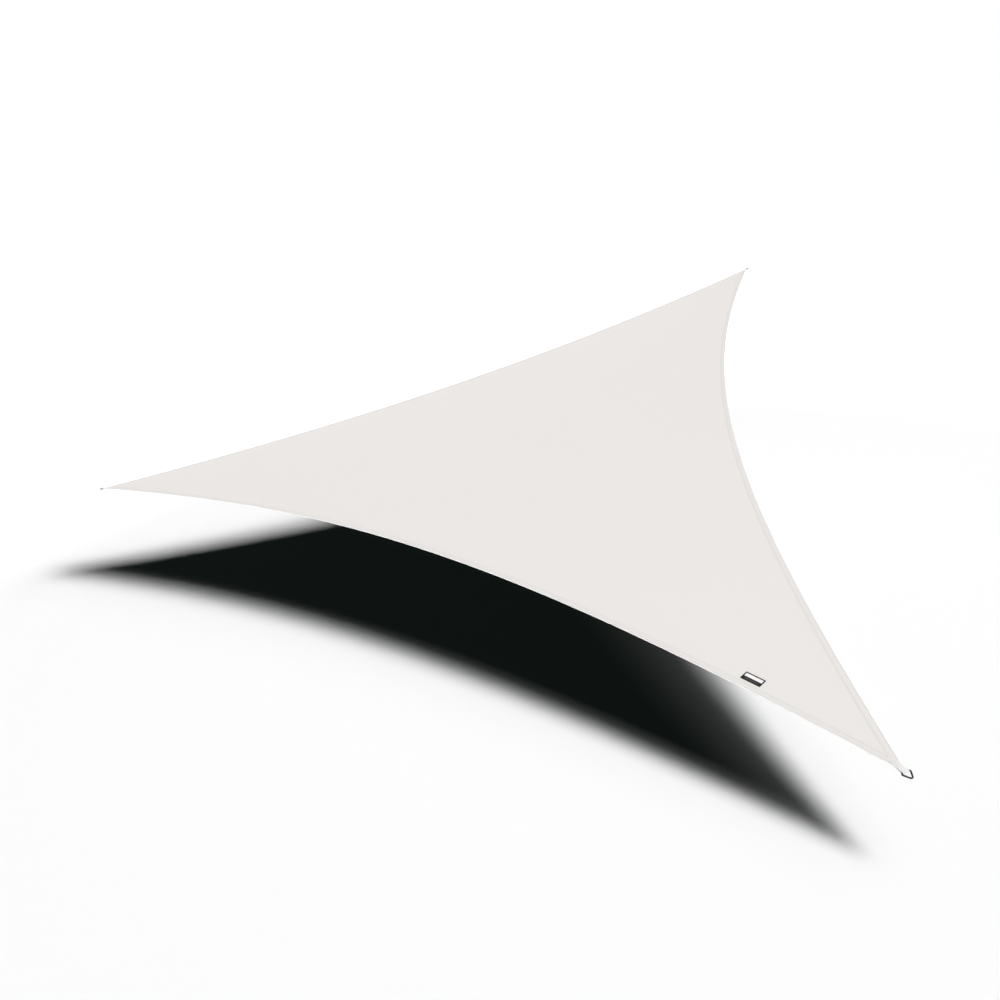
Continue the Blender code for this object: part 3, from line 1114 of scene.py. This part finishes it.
edge_away = node(tree, "ShaderNodeAttribute")
edge_away.attribute_name = "from_edge"
on_hem = maths(tree, "LESS_THAN", edge_away.outputs["Fac"], HEM_WIDTH)
# the outermost strip of the fold gets the painted highlight colour, paler than the hem
on_fold_highlight = maths(tree, "LESS_THAN", edge_away.outputs["Fac"], HEM_THICK / 2)
colour = mixed(tree, on_fold_highlight, mixed(tree, on_hem, CLOTH_COLOUR, HEM_COLOUR), FOLD_HIGHLIGHT_COLOUR)
tinted(tree, shader, colour, tone)
slubs = maths(tree, "MULTIPLY", maths(tree, "ADD", warp_slubs, weft_slubs), SLUB_BUMP)
bumped(tree, shader, maths(tree, "ADD", weave, slubs), CLOTH_BUMP)
tree.links.new(remapped(tree, warp_slubs, *CLOTH_ROUGHNESS), shader.inputs["Roughness"])
dress([cloth], cloth_finish)
print("cloth finish:", len(tree.nodes), "nodes")

# %% Thread
HEM_THREAD_COLOUR = (0.56, 0.54, 0.525)
STRAP_THREAD_COLOUR = (0.78, 0.76, 0.745)
LABEL_THREAD_COLOUR = (0.03, 0.028, 0.026)
PLY = 700.0                              # the thread's twist
PLY_BUMP = 0.0001
PLY_TONES = (0.85, 1.1)                  # darkest and palest, as shares of the colour
LABEL_PLY_TONES = (0.7, 1.3)
THREAD_SHEEN = 0.1


def thread_material(name, colour, tones, sheen, pieces):
    """A twisted thread of this colour, given to these rows of stitches."""
    finish, tree, shader = new_material(name, 0.6, sheen=sheen)
    ply = noise(tree, flat_map(tree), PLY)
    tinted(tree, shader, colour, remapped(tree, ply, *tones))
    bumped(tree, shader, ply, PLY_BUMP)
    dress(pieces, finish)


hem_rows = [top_stitches, under_stitches]
thread_material("hem_thread", HEM_THREAD_COLOUR, PLY_TONES, THREAD_SHEEN, hem_rows)
thread_material("strap_thread", STRAP_THREAD_COLOUR, PLY_TONES, THREAD_SHEEN, sewn.values())
thread_material("dark_thread", LABEL_THREAD_COLOUR, LABEL_PLY_TONES, 0.0, [label_stitches])
print("three colours of thread")

# %% Strap webbing
STRAP_COLOUR = (0.835, 0.812, 0.802)
STRAP_BUMP = 0.00008
RIB_PITCH = 0.0011
RIB_TONES = (0.96, 1.02)
FUZZ = 900.0
TONE_OF_FUZZ = 0.02

strap_finish, tree, shader = new_material("strap_finish", 0.75, sheen=0.12, specular=0.25)
where = flat_map(tree)
ribs = weave_height(tree, where, RIB_PITCH)
fuzz = noise(tree, where, FUZZ)
fuzzy = remapped(tree, fuzz, -TONE_OF_FUZZ, TONE_OF_FUZZ)
tone = maths(tree, "ADD", remapped(tree, ribs, *RIB_TONES), fuzzy)
tinted(tree, shader, STRAP_COLOUR, tone)
bumped(tree, shader, maths(tree, "MULTIPLY_ADD", fuzz, 0.5, ribs), STRAP_BUMP)
dress(straps.values(), strap_finish)
print("strap finish:", len(tree.nodes), "nodes")

# %% Ring coating
RING_COLOUR = (0.016, 0.016, 0.017)
RING_ROUGHNESS = (0.28, 0.52)            # from rubbed to dull
RING_BUMP = 0.00004
GRAIN = 900.0
SCUFFS = 120.0
SCUFF_TONES = (0.6, 1.5)

ring_finish, tree, shader = new_material("ring_finish", 0.38, specular=0.4)
grain = noise(tree, object_place(tree), GRAIN, detail=3.0)
scuffs = noise(tree, object_place(tree), SCUFFS, detail=4.0, roughness=0.7)
tinted(tree, shader, RING_COLOUR, remapped(tree, scuffs, *SCUFF_TONES))
tree.links.new(remapped(tree, scuffs, *RING_ROUGHNESS), shader.inputs["Roughness"])
bumped(tree, shader, grain, RING_BUMP)
dress(rings.values(), ring_finish)
print("ring finish:", len(tree.nodes), "nodes")

# %% Label: near-black satin with a pale band and a thin line
LABEL_COLOUR = (0.012, 0.011, 0.010)
BAND_COLOUR = (0.92, 0.91, 0.90)
LINE_COLOUR = (0.16, 0.155, 0.15)
BAND = {"half_length": 0.0325, "low": -0.0010, "high": 0.0130}     # from the label's middle
LINE = {"half_length": 0.0260, "low": -0.0100, "high": -0.0085}
SATIN_PITCH = 0.0006
SATIN_TONES = (0.85, 1.1)
SATIN_BUMP = 0.0001

label_finish, tree, shader = new_material("label_finish", 0.7, sheen=0.05)
where = flat_map(tree)


def woven_stripe(half_length, low, high):
    """1 within a stripe across the label, and 0 outside it."""
    parts = node(tree, "ShaderNodeSeparateXYZ", Vector=where)
    near_middle = maths(tree, "LESS_THAN", maths(tree, "ABSOLUTE", parts.outputs["X"]), half_length)
    above = maths(tree, "GREATER_THAN", parts.outputs["Y"], low)
    below = maths(tree, "LESS_THAN", parts.outputs["Y"], high)
    return maths(tree, "MULTIPLY", near_middle, maths(tree, "MULTIPLY", above, below))


banded = mixed(tree, woven_stripe(**BAND), LABEL_COLOUR, BAND_COLOUR)
colour = mixed(tree, woven_stripe(**LINE), banded, LINE_COLOUR)
satin = weave_height(tree, where, SATIN_PITCH)
tinted(tree, shader, colour, remapped(tree, satin, *SATIN_TONES))
bumped(tree, shader, satin, SATIN_BUMP)
dress([label], label_finish)
print("label finish:", len(tree.nodes), "nodes")

# %% [markdown]
# ## The sail's own lamps, and what rides on what
#
# Both lamps reach the sail alone. The sun leans only part of the way towards the key lamps, so the
# taut cloth stays even in tone. On the floor only the cloth throws a shadow: so wide a light washes
# out that of a strap or a ring. The whole sail is one rigid body in the frame, so every piece rides
# on it.

# %% The sail's sun and the front fill
corner_pieces = [*straps.values(), *sewn.values(), *rings.values()]
sail_pieces = [cloth, top_stitches, under_stitches, label, label_stitches, *corner_pieces]
sun_side = w_axis.slerp(lamp_side, SAIL_SUN_LEAN)
sail_sun = sun_lamp("sail_sun", sun_side, SAIL_SUN_STRENGTH, SAIL_SUN_SOFTNESS, sail_pieces)
front_fill = sun_lamp("front_fill", -v_axis, FILL_STRENGTH, FILL_SOFTNESS, sail_pieces)
for piece in sail_pieces:
    piece.visible_diffuse = False        # keeps the sail's own light off the floor
shadow_caster = bpy.data.collections.new("shadow_caster")
shadow_caster.objects.link(cloth)
for lamp in floor_lamps:
    lamp.light_linking.blocker_collection = shadow_caster
print("lamps for the sail:", sail_sun.name, front_fill.name)

# %% Tell the frame
for piece in sail_pieces:
    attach(piece, "root")
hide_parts("sail_cloth")
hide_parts("label")
for corner in CORNERS:
    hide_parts(f"corner_strap_{corner}")
    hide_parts(f"corner_ring_{corner}")
